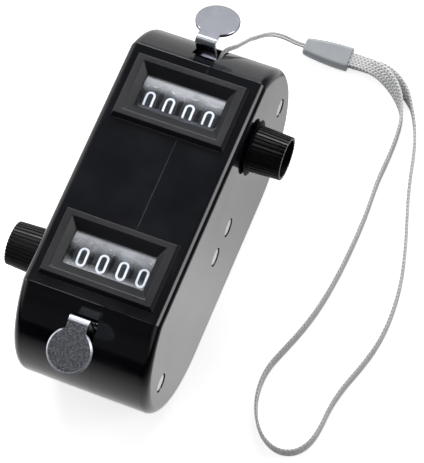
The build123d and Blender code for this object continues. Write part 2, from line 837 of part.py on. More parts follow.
def strap_band():
    """Flat knitted band: a loop lying on edge, both ends turned flat, one on the other, into the sleeve."""
    points = [(x, y, band_height) for x, y in band_route]
    radii = arc_radii(points)
    path = FilletPolyline(*points, radius=radii)
    start = path % 0
    section = Plane(origin=path @ 0, x_dir=(0, 0, 1), z_dir=start) * Rectangle(band_width, band_thickness)
    loop = sweep(section, path=path)
    report_tube("strap_band", path, loop, band_width * band_thickness, radii)
    end = path % 1
    band = loop + band_end(band_first_end, (start.X, start.Y))
    return band + band_end(band_last_end, (-end.X, -end.Y))


def counter_module():
    """Every piece of one counter, as the upper one stands."""
    wheel_names = ("units", "tens", "hundreds", "thousands")
    pieces = {
        "bezel": bezel(),
        "lens": lens(),
        "chassis": chassis(),
        "wheel_shaft": wheel_shaft(),
        "shaft_clip": shaft_clip(),
        "reset_knob": reset_knob(),
        "lever_pin": lever_pin(),
        "thumb_lever": thumb_lever(),
        "return_spring": return_spring(),
        "pawl_pin": pawl_pin(),
        "feed_pawl": feed_pawl(),
        "detent_comb": detent_comb(),
    }
    for index, name in enumerate(wheel_names):
        pieces[name + "_wheel"] = number_wheel(index)
    return pieces


def save(name, shape):
    shape.label = name
    export_step(shape, "parts/" + name + ".step")
    print(name, len(shape.solids()), round(shape.volume, 2))


def main():
    os.makedirs("parts", exist_ok=True)
    left_case, right_case = case_halves()
    save("left_case", left_case)
    save("right_case", right_case)
    save("case_rivets", case_rivets())
    for name, shape in counter_module().items():
        save(name + "_upper", shape)
        save(name + "_lower", Rot(0, 0, 180) * shape)
    save("strap_pin", strap_pin())
    save("strap_cord", strap_cord())
    save("strap_sleeve", strap_sleeve())
    save("strap_band", strap_band())


main()
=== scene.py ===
import bpy
import math
from mathutils import Matrix, Vector


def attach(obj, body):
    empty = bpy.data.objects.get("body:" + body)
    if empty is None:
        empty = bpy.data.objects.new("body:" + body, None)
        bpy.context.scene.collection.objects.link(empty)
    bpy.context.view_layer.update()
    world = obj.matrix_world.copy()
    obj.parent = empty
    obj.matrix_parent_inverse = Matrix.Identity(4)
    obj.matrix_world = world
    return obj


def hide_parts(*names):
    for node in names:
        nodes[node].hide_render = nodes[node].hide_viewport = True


# Double tally counter in metres. The lengths below are millimetres, apart from the studio's.
mm = 0.001
# the lower counter is the upper one turned half round
facings = {"upper": 1, "lower": -1}
wheelPlaces = ("units", "tens", "hundreds", "thousands")
# how far each counter's middle and each thumb pad's are from the part's
counterOffset = 22.0
padOffset = 46.25
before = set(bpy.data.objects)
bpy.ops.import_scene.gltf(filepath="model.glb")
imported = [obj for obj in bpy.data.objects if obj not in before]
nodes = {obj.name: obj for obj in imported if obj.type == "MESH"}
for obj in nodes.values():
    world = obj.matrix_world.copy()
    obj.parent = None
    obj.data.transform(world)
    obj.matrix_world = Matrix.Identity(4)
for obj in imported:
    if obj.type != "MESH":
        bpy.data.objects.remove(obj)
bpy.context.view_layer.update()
bpy.ops.object.select_all(action="DESELECT")

# camera at the photograph's place
cameraView = {
    "place": (134.910, -182.524, 541.888),
    "right": (0.92254421, 0.37748303, -0.08011704),
    "up": (-0.32105321, 0.86599921, 0.38336693),
    "back": (0.2140958, -0.32795111, 0.9201147),
    "lens": 116.81,
    "sensorHeight": 24.0,
    # in metres
    "clipStart": 0.01,
    "clipEnd": 20.0,
}


def placeCamera(view):
    bpy.ops.object.camera_add()
    camera = bpy.context.object
    camera.name = "studioCamera"
    turn = Matrix((view["right"], view["up"], view["back"])).transposed().to_4x4()
    camera.matrix_world = Matrix.Translation(Vector(view["place"]) * mm) @ turn
    camera.data.sensor_fit = "VERTICAL"
    camera.data.sensor_height = view["sensorHeight"]
    camera.data.lens = view["lens"]
    camera.data.clip_start = view["clipStart"]
    camera.data.clip_end = view["clipEnd"]
    bpy.context.scene.camera = camera


placeCamera(cameraView)
print("camera placed")


# small helpers for selecting and finishing
def onlyActive(piece):
    if bpy.context.object and bpy.context.object.mode != "OBJECT":
        bpy.ops.object.mode_set(mode="OBJECT")
    bpy.ops.object.select_all(action="DESELECT")
    piece.select_set(True)
    bpy.context.view_layer.objects.active = piece


def applyModifier(piece, kind, **values):
    onlyActive(piece)
    modifier = piece.modifiers.new(kind.lower(), kind)
    for name, value in values.items():
        setattr(modifier, name, value)
    bpy.ops.object.modifier_apply(modifier=modifier.name)


def smoothed(piece, angle):
    onlyActive(piece)
    bpy.ops.object.shade_smooth_by_angle(angle=math.radians(angle))


def meshPiece(name, points, faces):
    mesh = bpy.data.meshes.new(name)
    mesh.from_pydata([tuple(p) for p in points], [], faces)
    mesh.update()
    piece = bpy.data.objects.new(name, mesh)
    bpy.context.scene.collection.objects.link(piece)
    return piece


def outward(piece):
    onlyActive(piece)
    bpy.ops.object.mode_set(mode="EDIT")
    bpy.ops.mesh.select_all(action="SELECT")
    bpy.ops.mesh.normals_make_consistent(inside=False)
    bpy.ops.object.mode_set(mode="OBJECT")


def finish(piece, body, material):
    piece.data.materials.clear()
    piece.data.materials.append(material)
    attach(piece, body)
    return piece


# shader helpers: a number is set on its socket, an output is linked to it
grains = {
    # detail and roughness of each noise
    "haze": (4.0, 0.5),
    "grain": (3.0, 0.5),
    "cloud": (4.0, 0.6),
    "fleck": (5.0, 0.7),
    "wave": (2.0, 0.5),
    "fuzz": (3.0, 0.7),
}
noiseLow, noiseHigh = 0.35, 0.65
tintLow, tintHigh = 0.3, 0.7


def newMaterial(name, colour, roughness, metallic=0.0):
    material = bpy.data.materials.new(name)
    material.use_nodes = True
    tree = material.node_tree
    shader = tree.nodes["Principled BSDF"]
    shader.inputs["Base Color"].default_value = (*colour, 1)
    shader.inputs["Roughness"].default_value = roughness
    shader.inputs["Metallic"].default_value = metallic
    return material, tree, shader


def feed(tree, socket, value):
    if isinstance(value, (int, float)):
        socket.default_value = value
    else:
        tree.links.new(value, socket)


def placeOn(tree, kind="Object"):
    return tree.nodes.new("ShaderNodeTexCoord").outputs[kind]


def splitOn(tree, place):
    split = tree.nodes.new("ShaderNodeSeparateXYZ")
    tree.links.new(place, split.inputs["Vector"])
    return split.outputs


def mathsOn(tree, kind, *values):
    node = tree.nodes.new("ShaderNodeMath")
    node.operation = kind
    for socket, value in zip(node.inputs, values):
        feed(tree, socket, value)
    return node.outputs["Value"]


def vectorOn(tree, kind, place, other=None):
    node = tree.nodes.new("ShaderNodeVectorMath")
    node.operation = kind
    tree.links.new(place, node.inputs[0])
    if other:
        node.inputs[1].default_value = other
    return node


# distance from the part's middle plane along one axis
def awayOn(tree, place, axis):
    return mathsOn(tree, "ABSOLUTE", splitOn(tree, place)[axis])


def noiseOn(tree, place, scale, grain):
    detail, roughness = grains[grain]
    noise = tree.nodes.new("ShaderNodeTexNoise")
    noise.inputs["Scale"].default_value = scale
    noise.inputs["Detail"].default_value = detail
    noise.inputs["Roughness"].default_value = roughness
    tree.links.new(place, noise.inputs["Vector"])
    return noise.outputs["Fac"]


def rangeOn(tree, source, low, high, newLow=0.0, newHigh=1.0):
    spread = tree.nodes.new("ShaderNodeMapRange")
    for socket, value in zip(("From Min", "From Max", "To Min", "To Max"), (low, high, newLow, newHigh)):
        spread.inputs[socket].default_value = value
    tree.links.new(source, spread.inputs["Value"])
    return spread.outputs["Result"]


def rampOn(tree, source, stops):
    ramp = tree.nodes.new("ShaderNodeValToRGB")
    elements = ramp.color_ramp.elements
    for element, (place, colour) in zip(elements, (stops[0], stops[-1])):
        element.position = place
        element.color = (*colour, 1)
    for place, colour in stops[1:-1]:
        elements.new(place).color = (*colour, 1)
    tree.links.new(source, ramp.inputs["Fac"])
    return ramp.outputs["Color"]


# level along a stretch, from stops of place and level
def profileOn(tree, along, low, high, stops):
    return rampOn(tree, along, [((place - low) / (high - low), (level,) * 3) for place, level in stops])


def bumpOn(tree, shader, height, strength, distance):
    bump = tree.nodes.new("ShaderNodeBump")
    bump.inputs["Strength"].default_value = strength
    bump.inputs["Distance"].default_value = distance
    tree.links.new(height, bump.inputs["Height"])
    tree.links.new(bump.outputs["Normal"], shader.inputs["Normal"])


# number between a linked one and a plain one
def blendOn(tree, share, first, second):
    mix = tree.nodes.new("ShaderNodeMix")
    tree.links.new(share, mix.inputs[0])
    tree.links.new(first, mix.inputs[2])
    mix.inputs[3].default_value = second
    return mix.outputs[0]


# two shaders mixed on the material's surface
def showMix(tree, share, first, second):
    mix = tree.nodes.new("ShaderNodeMixShader")
    for socket, output in zip(mix.inputs, (share, first, second)):
        tree.links.new(output, socket)
    tree.links.new(mix.outputs["Shader"], tree.nodes["Material Output"].inputs["Surface"])


# plastics and paint
plainPlastic = {"specular": 0.5, "coat": 0.0, "coatRoughness": 0.05}
plastics = {
    "casePlastic": {
        "colour": (0.0032, 0.0036, 0.0055), "roughness": 0.1,
        "hazeScale": 70, "hazeSpread": 0.09, "paleShare": 1.6,
        "grainScale": 900, "grainStrength": 0.06, "grainDepth": 0.00002,
        "coat": 0.35,
    },
    "bezelPlastic": {
        "colour": (0.006, 0.0065, 0.0088), "roughness": 0.34,
        "hazeScale": 90, "hazeSpread": 0.1, "paleShare": 1.4,
        "grainScale": 4200, "grainStrength": 0.25, "grainDepth": 0.00004,
    },
    "knobPlastic": {
        "colour": (0.004, 0.0043, 0.0055), "roughness": 0.24,
        "hazeScale": 120, "hazeSpread": 0.12, "paleShare": 1.5,
        "grainScale": 3200, "grainStrength": 0.15, "grainDepth": 0.00003,
        "specular": 0.3,
        # the flange by the case is matt
        "mattWithin": 19.08, "mattFade": 0.05, "mattShare": 0.75,
    },
    "wheelPlastic": {
        "colour": (0.005, 0.0055, 0.007), "roughness": 0.5,
        "hazeScale": 200, "hazeSpread": 0.12, "paleShare": 1.6,
        "grainScale": 2500, "grainStrength": 0.1, "grainDepth": 0.00002,
        "specular": 0.25,
    },
    "sleevePlastic": {
        "colour": (0.33, 0.348, 0.375), "roughness": 0.36,
        "hazeScale": 150, "hazeSpread": 0.12, "paleShare": 1.12,
        "grainScale": 3000, "grainStrength": 0.12, "grainDepth": 0.00003,
    },
    "numeralPaint": {
        "colour": (0.82, 0.82, 0.8), "roughness": 0.45,
        "hazeScale": 400, "hazeSpread": 0.1, "paleShare": 1.08,
        "grainScale": 4000, "grainStrength": 0.1, "grainDepth": 0.00002,
    },
}


def plasticMaterial(name, look):
    material, tree, shader = newMaterial(name, look["colour"], look["roughness"])
    place = placeOn(tree)
    haze = noiseOn(tree, place, look["hazeScale"], "haze")
    rough = rangeOn(tree, haze, noiseLow, noiseHigh, look["roughness"], look["roughness"] + look["hazeSpread"])
    pale = tuple(c * look["paleShare"] for c in look["colour"])
    tint = rampOn(tree, haze, [(tintLow, look["colour"]), (tintHigh, pale)])
    tree.links.new(rough, shader.inputs["Roughness"])
    tree.links.new(tint, shader.inputs["Base Color"])
    shader.inputs["Specular IOR Level"].default_value = look["specular"]
    shader.inputs["Coat Weight"].default_value = look["coat"]
    shader.inputs["Coat Roughness"].default_value = look["coatRoughness"]
    grain = noiseOn(tree, place, look["grainScale"], "grain")
    bumpOn(tree, shader, grain, look["grainStrength"], look["grainDepth"])
    if "mattWithin" in look:
        matt = tree.nodes.new("ShaderNodeBsdfDiffuse")
        matt.inputs["Color"].default_value = (*look["colour"], 1)
        near = (look["mattWithin"] - look["mattFade"]) * mm
        far = (look["mattWithin"] + look["mattFade"]) * mm
        share = rangeOn(tree, awayOn(tree, place, "X"), near, far, look["mattShare"], 0.0)
        showMix(tree, share, shader.outputs["BSDF"], matt.outputs["BSDF"])
    return material


# metals, the levers' with a painted highlight on the pad rim and the bend: full unflecked colour and a broader
# reflection
plainMetal = {"fleckLow": 0.35, "fleckHigh": 0.6}
metals = {
    "leverSteel": {
        "colour": (0.45, 0.465, 0.52), "roughness": 0.13, "roughSpread": 0.04,
        "cloudScale": 700, "darkShare": 0.85,
        "fleckScale": 4200, "fleckStrength": 0.35, "fleckDepth": 0.00003,
        "paintedHighlight": {"middle": padOffset, "rim": 9.0, "roughness": 0.38},
    },
    "wornLeverSteel": {
        "colour": (0.7, 0.725, 0.81), "roughness": 0.22, "roughSpread": 0.1,
        "cloudScale": 1500, "darkShare": 0.4,
        "fleckScale": 3000, "fleckStrength": 0.3, "fleckDepth": 0.00004,
        "fleckLow": 0.44, "fleckHigh": 0.66,
        # painted shade: the riser's inner face, inside the case, is darkened to a fifth of its colour
        "paintedShadeWithin": 38.5, "paintedShadeFade": 0.1, "paintedShadeShare": 0.2,
        "paintedHighlight": {"middle": -padOffset, "rim": 5.2, "roughness": 0.42},
    },
    "rivetSteel": {
        "colour": (0.72, 0.72, 0.71), "roughness": 0.16, "roughSpread": 0.1,
        "cloudScale": 500, "darkShare": 0.8,
        "fleckScale": 2500, "fleckStrength": 0.1, "fleckDepth": 0.00002,
    },
    "sheetSteel": {
        "colour": (0.52, 0.52, 0.5), "roughness": 0.34, "roughSpread": 0.15,
        "cloudScale": 180, "darkShare": 0.75,
        "fleckScale": 1500, "fleckStrength": 0.2, "fleckDepth": 0.00003,
    },
    "pinSteel": {
        "colour": (0.6, 0.6, 0.6), "roughness": 0.22, "roughSpread": 0.1,
        "cloudScale": 400, "darkShare": 0.85,
        "fleckScale": 2200, "fleckStrength": 0.1, "fleckDepth": 0.00002,
    },
    "springSteel": {
        "colour": (0.46, 0.45, 0.43), "roughness": 0.25, "roughSpread": 0.12,
        "cloudScale": 500, "darkShare": 0.8,
        "fleckScale": 2600, "fleckStrength": 0.1, "fleckDepth": 0.00002,
    },
}
paintedHighlightPlaces = {
    # the pad slopes, so its shortened plan is stretched back to a circle
    "stretch": 1.08,
    "rimFade": 0.1,
    "padStart": 42.1,
    "padEnd": 42.6,
    "bendStart": 39.8,
    "bendEnd": 40.1,
    "bendLow": 49.8,
    "bendHigh": 50.2,
}


# painted highlight mask: a ring round the pad's edge and the top of the bend
def paintedHighlightOn(tree, place, values):
    moved = vectorOn(tree, "SUBTRACT", place, (0, values["middle"] * mm, 0)).outputs["Vector"]
    flat = vectorOn(tree, "MULTIPLY", moved, (1, values["stretch"], 0)).outputs["Vector"]
    length = vectorOn(tree, "LENGTH", flat).outputs["Value"]
    awayY = awayOn(tree, place, "Y")
    ring = rangeOn(tree, length, values["rim"] * mm, (values["rim"] + values["rimFade"]) * mm)
    pad = rangeOn(tree, awayY, values["padStart"] * mm, values["padEnd"] * mm)
    bend = rangeOn(tree, awayY, values["bendStart"] * mm, values["bendEnd"] * mm, 1.0, 0.0)
    height = rangeOn(tree, awayOn(tree, place, "Z"), values["bendLow"] * mm, values["bendHigh"] * mm)
    rimShare = mathsOn(tree, "MULTIPLY", ring, pad)
    bendShare = mathsOn(tree, "MULTIPLY", bend, height)
    return mathsOn(tree, "MAXIMUM", rimShare, bendShare)


def metalMaterial(name, look):
    material, tree, shader = newMaterial(name, look["colour"], look["roughness"], 1.0)
    place = placeOn(tree)
    cloud = noiseOn(tree, place, look["cloudScale"], "cloud")
    rough = rangeOn(tree, cloud, noiseLow, noiseHigh, look["roughness"], look["roughness"] + look["roughSpread"])
    fleck = noiseOn(tree, place, look["fleckScale"], "fleck")
    # painted highlight: flecks and their darkening are left out there, and the roughness rises
    if "paintedHighlight" in look:
        highlightShare = paintedHighlightOn(tree, place, {**paintedHighlightPlaces, **look["paintedHighlight"]})
        rough = blendOn(tree, highlightShare, rough, look["paintedHighlight"]["roughness"])
        fleck = blendOn(tree, highlightShare, fleck, 1.0)
    tree.links.new(rough, shader.inputs["Roughness"])
    dark = tuple(c * look["darkShare"] for c in look["colour"])
    colour = rampOn(tree, fleck, [(look["fleckLow"], dark), (look["fleckHigh"], look["colour"])])
    # painted shade: the colour is scaled down where the piece lies nearer the middle in Y than the given place
    if "paintedShadeWithin" in look:
        near = (look["paintedShadeWithin"] - look["paintedShadeFade"]) * mm
        far = (look["paintedShadeWithin"] + look["paintedShadeFade"]) * mm
        share = rangeOn(tree, awayOn(tree, place, "Y"), near, far, look["paintedShadeShare"], 1.0)
        shadedColour = vectorOn(tree, "SCALE", colour)
        tree.links.new(share, shadedColour.inputs["Scale"])
        colour = shadedColour.outputs["Vector"]
    tree.links.new(colour, shader.inputs["Base Color"])
    bumpOn(tree, shader, fleck, look["fleckStrength"], look["fleckDepth"])
    return material


materials = {name: plasticMaterial(name, {**plainPlastic, **look}) for name, look in plastics.items()}
materials.update({name: metalMaterial(name, {**plainMetal, **look}) for name, look in metals.items()})

# clear panes that let the lamps through, with painted glare: a coat and a milky, less clear share that follow the
# place across the window
paneGlass = {
    "colour": (0.97, 0.98, 0.98),
    "darkTint": (0.8, 0.84, 0.92),
    "paleTint": (0.86, 0.9, 0.98),
    "smearScale": 220,
    "waveScale": 260,
    "waveReach": 0.07,
    "ior": 1.0,
    "coatRoughness": 0.4,
    "coatIor": 2.5,
    "reach": 4.5,
}
paneLooks = {
    "upper": {
        "middle": counterOffset,
        "paintedGlareCoats": [(-4.5, 0.05), (-1.0, 0.03), (0.6, 0.08), (2.2, 0.4), (3.2, 0.5), (4.5, 0.5)],
        "paintedGlareClears": [(-4.5, 1.0), (0.8, 1.0), (2.2, 0.9), (3.0, 0.74), (4.5, 0.58)],
    },
    "lower": {
        "middle": -counterOffset,
        "paintedGlareCoats": [(-4.5, 0.6), (-3.6, 0.4), (-2.2, 0.03), (0.2, 0.04), (1.8, 0.35), (3.0, 0.5), (4.5, 0.5)],
        "paintedGlareClears": [(-4.5, 0.85), (-3.4, 0.97), (-2.4, 1.0), (0.9, 1.0), (2.0, 0.93), (3.2, 0.78), (4.5, 0.62)],
    },
}


def paneMaterial(name, look):
    material, tree, shader = newMaterial(name, look["colour"], 0.0)
    shader.inputs["IOR"].default_value = look["ior"]
    shader.inputs["Coat Roughness"].default_value = look["coatRoughness"]
    shader.inputs["Coat IOR"].default_value = look["coatIor"]
    place = placeOn(tree)
    smear = noiseOn(tree, place, look["smearScale"], "haze")
    tint = rampOn(tree, smear, [(tintLow, look["darkTint"]), (tintHigh, look["paleTint"])])
    tree.links.new(tint, shader.inputs["Base Color"])
    reach = look["reach"]
    near, far = (look["middle"] - reach) * mm, (look["middle"] + reach) * mm
    wave = noiseOn(tree, place, look["waveScale"], "wave")
    sway = rangeOn(tree, wave, tintLow, tintHigh, -look["waveReach"], look["waveReach"])
    across = mathsOn(tree, "ADD", rangeOn(tree, splitOn(tree, place)["Y"], near, far), sway)
    # painted glare: coat weight and the milky share rise towards the window's edges
    for part, socket in (("paintedGlareCoats", "Coat Weight"), ("paintedGlareClears", "Transmission Weight")):
        tree.links.new(profileOn(tree, across, -reach, reach, look[part]), shader.inputs[socket])
    clear = tree.nodes.new("ShaderNodeBsdfTransparent")
    rays = tree.nodes.new("ShaderNodeLightPath")
    showMix(tree, rays.outputs["Is Shadow Ray"], shader.outputs["BSDF"], clear.outputs["BSDF"])
    return material


for half, look in paneLooks.items():
    materials[half + "Pane"] = paneMaterial(half + "PaneMaterial", {**paneGlass, **look})

# knitted band and braided cord: patterns on the piece's own UV, in millimetres
plainYarn = {
    "roughness": 0.8,
    "sheen": 0.25,
    "sheenRoughness": 0.5,
    "stitchShare": 0.6,
    "grooveShare": -0.5,
    "fuzzShare": 0.6,
    "fuzzScale": 3500,
    "shadeReach": 0.9,
    "darkEnd": 0.05,
    "paleEnd": 0.55,
}
yarns = {
    "bandYarn": {
        "colour": (0.78, 0.78, 0.79), "darkShare": 0.5, "columnWidth": 0.7, "slant": 0.9, "stitchPitch": 1.05,
        "bumpStrength": 0.8, "bumpDepth": 0.0002,
    },
    "cordYarn": {
        "colour": (0.7, 0.7, 0.71), "darkShare": 0.75, "columnWidth": 0.7, "slant": 0.8, "stitchPitch": 0.8,
        "bumpStrength": 0.7, "bumpDepth": 0.00012,
    },
}


def yarnMaterial(name, look):
    material, tree, shader = newMaterial(name, look["colour"], look["roughness"])
    shader.inputs["Sheen Weight"].default_value = look["sheen"]
    shader.inputs["Sheen Roughness"].default_value = look["sheenRoughness"]
    split = splitOn(tree, placeOn(tree, "UV"))
    across, along = split["X"], split["Y"]

    def scaled(source, factor):
        return mathsOn(tree, "MULTIPLY", source, factor)

    column = mathsOn(tree, "PINGPONG", across, look["columnWidth"])
    slanted = mathsOn(tree, "ADD", along, scaled(column, look["slant"]))
    stitch = mathsOn(tree, "SINE", scaled(slanted, 2 * math.pi / look["stitchPitch"]))
    groove = mathsOn(tree, "COSINE", scaled(across, math.pi / look["columnWidth"]))
    dips = scaled(scaled(groove, groove), look["grooveShare"])
    height = mathsOn(tree, "ADD", scaled(stitch, look["stitchShare"]), dips)
    fuzz = noiseOn(tree, placeOn(tree), look["fuzzScale"], "fuzz")
    full = mathsOn(tree, "ADD", height, scaled(fuzz, look["fuzzShare"]))
    # painted shade: the yarn is darkened in the stitches' grooves and dips, with random tone from the fuzz
    shade = rangeOn(tree, full, -look["shadeReach"], look["shadeReach"])
    dark = tuple(c * look["darkShare"] for c in look["colour"])
    colour = rampOn(tree, shade, [(look["darkEnd"], dark), (look["paleEnd"], look["colour"])])
    tree.links.new(colour, shader.inputs["Base Color"])
    bumpOn(tree, shader, full, look["bumpStrength"], look["bumpDepth"])
    return material


materials.update({name: yarnMaterial(name, {**plainYarn, **look}) for name, look in yarns.items()})
print("materials made")


# line of a cord: smooth spline drawn along the route's points
splineValues = {"order": 3, "perSpan": 8}


def splineLine(name, route):
    curve = bpy.data.curves.new(name, "CURVE")
    curve.dimensions = "3D"
    curve.resolution_u = splineValues["perSpan"]
    spline = curve.splines.new("NURBS")
    spline.points.add(len(route) - 1)
    for point, place in zip(spline.points, route):
        point.co = (*(c * mm for c in place), 1)
    spline.order_u = splineValues["order"]
    spline.use_endpoint_u = True
    holder = bpy.data.objects.new(name, curve)
    bpy.context.scene.collection.objects.link(holder)
    mesh = bpy.data.meshes.new_from_object(holder)
    line = [v.co.copy() for v in mesh.vertices]
    bpy.data.objects.remove(holder)
    bpy.data.curves.remove(curve)
    bpy.data.meshes.remove(mesh)
    return line


def directions(line):
    last = len(line) - 1
    return [(line[min(i + 1, last)] - line[max(i - 1, 0)]).normalized() for i in range(last + 1)]


def runLengths(line):
    lengths = [0.0]
    for before, here in zip(line, line[1:]):
        lengths.append(lengths[-1] + (here - before).length)
    return lengths


# skin of rings along a line, with its UV in millimetres round and along
skinAngle = 60


def ringSkin(name, rings, roundPlaces, lengths):
    points = [p for ring in rings for p in ring]
    count = len(rings[0])
    faces = []
    for step in range(len(rings) - 1):
        for side in range(count):
            nextSide = (side + 1) % count
            base = step * count
            faces.append((base + side, base + nextSide, base + count + nextSide, base + count + side))
    faces.append(tuple(reversed(range(count))))
    faces.append(tuple(range((len(rings) - 1) * count, len(rings) * count)))
    piece = meshPiece(name, points, faces)
    layer = piece.data.uv_layers.new(name="yarn")
    for face in piece.data.polygons:
        corners = [piece.data.loops[i].vertex_index for i in face.loop_indices]
        columns = {c % count for c in corners}
        wraps = len(corners) == 4 and {0, count - 1} <= columns
        for loop, corner in zip(face.loop_indices, corners):
            side = corner % count
            across = roundPlaces[-1] if wraps and side == 0 else roundPlaces[side]
            layer.data[loop].uv = (across, lengths[corner // count] / mm)
    outward(piece)
    smoothed(piece, skinAngle)
    return piece


strapCord = {
    "route": [(3.2, 33.6, 43.6), (3.22, 36.2, 43.0), (3.25, 39.0, 44.1), (3.5, 41.2, 43.6), (4.3, 43.6, 41.3),
              (4.8, 45.6, 38.9), (4.64, 47.9, 35.9), (4.45, 50.4, 32.2), (4.2, 53.5, 28.0), (3.65, 57.6, 21.0),
              (3.8, 62.2, 14.4), (4.6, 66.2, 8.2), (6.9, 68.5, 3.6), (9.5, 68.8, 1.6), (12.8, 68.8, 1.6)],
    "radius": 0.33,
    "spread": 0.37,
    "pinSpread": 1.1,
    "pinRun": 4.0,
    # degrees where the cord turns round the pin: from, to, step
    "pinTurn": (105, 270, 15),
    "sides": 10,
    "exit": (3.25, 39.0, 44.1),
    "width": 1.4,
}


def makeStrapCord(values):
    middle = splineLine("cordLine", values["route"])
    upper, lower = [], []
    for place, way, length in zip(middle, directions(middle), runLengths(middle)):
        side = Vector((0, -way.z, way.y)) * (1 - abs(way.x)) + Vector((0, 1, 0)) * max(0.0, way.x) ** 2
        side.normalize()
        near = max(0.0, 1 - length / mm / values["pinRun"])
        spread = (values["spread"] + (values["pinSpread"] - values["spread"]) * near) * mm
        upper.append(place + side * spread)
        lower.append(place - side * spread)
    pin = middle[0]
    turn = []
    for angle in range(*values["pinTurn"]):
        arm = Vector((0, math.cos(math.radians(angle)), math.sin(math.radians(angle))))
        turn.append(pin + arm * values["pinSpread"] * mm)
    strand = list(reversed(upper)) + turn + lower
    # the strand starts along X, in the sleeve
    side = Vector((0, 0, 1))
    rings = []
    sides = values["sides"]
    for place, way in zip(strand, directions(strand)):
        side = (side - way * side.dot(way)).normalized()
        other = way.cross(side)
        ring = []
        for step in range(sides):
            angle = 2 * math.pi * step / sides
            ring.append(place + (side * math.cos(angle) + other * math.sin(angle)) * values["radius"] * mm)
        rings.append(ring)
    girth = 2 * math.pi * values["radius"]
    places = [girth * step / sides for step in range(sides + 1)]
    piece = ringSkin("strapCordYarn", rings, places, runLengths(strand))
    path = [turn[len(turn) // 2]] + middle
    return piece, path


cordPiece, cordPath = makeStrapCord(strapCord)

strapBand = {
    "route": [(25.1, 69.0, 2.05), (29.5, 69.1, 2.05), (34.0, 68.4, 2.1), (38.3, 65.9, 2.1), (41.8, 62.2, 2.15),
              (44.0, 57.9, 2.15), (44.8, 53.2, 2.15), (45.0, 46.2, 2.15), (44.6, 37.6, 2.15), (45.2, 28.6, 2.15),
              (45.1, 19.0, 2.15), (44.5, 9.2, 2.15), (43.3, 0.2, 2.15), (41.3, -7.6, 2.15), (38.9, -14.2, 2.15),
              (36.8, -20.0, 2.15), (36.6, -26.2, 2.15), (38.3, -32.2, 2.15), (41.8, -37.2, 2.15),
              (46.6, -39.6, 2.15), (51.2, -38.6, 2.15), (54.1, -34.9, 2.15), (55.1, -29.9, 2.15),
              (55.3, -24.4, 2.15), (56.5, -18.4, 2.15), (58.8, -11.8, 2.15), (60.8, -4.2, 2.15), (61.3, 4.8, 2.15),
              (60.2, 14.6, 2.15), (57.5, 24.8, 2.15), (54.2, 34.8, 2.15), (52.2, 42.2, 2.15), (50.9, 48.4, 2.15),
              (49.1, 54.4, 2.15), (46.2, 60.3, 2.15), (43.2, 64.1, 2.15), (39.3, 67.2, 1.95), (34.2, 69.3, 1.35),
              (29.5, 69.1, 1.1), (25.1, 69.0, 1.1)],
    "width": 4.2,
    "thickness": 0.8,
    "flatRun": 4.4,
    "turnedRun": 23.8,
    "turn": 90,
    "sides": 20,
    "squareness": 0.45,
}


def makeStrapBand(values):
    line = splineLine("bandLine", values["route"])
    lengths = runLengths(line)
    total = lengths[-1]
    sides = values["sides"]
    rings = []

    def turnAt(length):
        share = (length / mm - values["flatRun"]) / (values["turnedRun"] - values["flatRun"])
        return math.radians(values["turn"]) * min(1.0, max(0.0, share))

    def rounded(value):
        return math.copysign(abs(value) ** values["squareness"], value)

    for place, way, length in zip(line, directions(line), lengths):
        turn = turnAt(length) if length <= total / 2 else math.pi - turnAt(total - length)
        level = Vector((way.x, way.y, 0)).normalized()
        left = Vector((-level.y, level.x, 0))
        wide = left * math.cos(turn) + Vector((0, 0, 1)) * math.sin(turn)
        thick = way.cross(wide).normalized()
        ring = []
        for step in range(sides):
            angle = 2 * math.pi * (step + 0.5) / sides
            ring.append(
                place
                + wide * rounded(math.cos(angle)) * values["width"] / 2 * mm
                + thick * rounded(math.sin(angle)) * values["thickness"] / 2 * mm
            )
        rings.append(ring)
    girth = [0.0]
    loop = rings[0] + [rings[0][0]]
    for before, here in zip(loop, loop[1:]):
        girth.append(girth[-1] + (here - before).length / mm)
    piece = ringSkin("strapBandKnit", rings, girth, lengths)
    return piece, line


bandPiece, bandPath = makeStrapBand(strapBand)
finish(cordPiece, "housing", materials["cordYarn"])
finish(bandPiece, "housing", materials["bandYarn"])
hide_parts("strap_cord")
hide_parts("strap_band")
print("cord length", round(runLengths(cordPath)[-1], 4), "band length", round(runLengths(bandPath)[-1], 4))


# pad of each thumb lever: its round upper edge is chamfered, apart from where the neck joins it
padValues = {
    "height": 48.13,
    "slope": 22.2,
    "radius": 5.65,
    "halfSheet": 0.4,
    "closeness": 0.05,
    "openAngle": 32.0,
    "chamfer": {"upper": 0.14, "lower": 0.42},
}


def chamferPad(piece, half, values):
    facing = facings[half]
    slope = math.radians(values["slope"])
    centre = Vector((0, facing * padOffset, values["height"])) * mm
    normal = Vector((0, facing * math.sin(slope), math.cos(slope)))
    outer = Vector((0, facing * math.cos(slope), -math.sin(slope)))
    close = values["closeness"] * mm
    for edge in piece.data.edges:
        chosen = True
        for index in edge.vertices:
            arm = piece.data.vertices[index].co - centre
            rise = arm.dot(normal)
            arm -= normal * rise
            if abs(rise - values["halfSheet"] * mm) > close or abs(arm.length - values["radius"] * mm) > close:
                chosen = False
            elif arm.normalized().dot(-outer) > math.cos(math.radians(values["openAngle"])):
                chosen = False
        edge.select = chosen
    print(half, "pad edges", sum(edge.select for edge in piece.data.edges))
    onlyActive(piece)
    bpy.context.tool_settings.mesh_select_mode = (False, True, False)
    bpy.ops.object.mode_set(mode="EDIT")
    bpy.ops.mesh.bevel(offset=values["chamfer"][half] * mm, segments=1, clamp_overlap=False)
    bpy.ops.object.mode_set(mode="OBJECT")


# smooth, softly edged copy of a CAD node, which it replaces
dressValues = {
    "weld": 0.002,
    "dissolveAngle": 0.4,
    "leverDissolveAngle": 1.2,
    "edgeSteps": 2,
    "edgeAngle": 32.0,
    "normalWeight": 60,
}


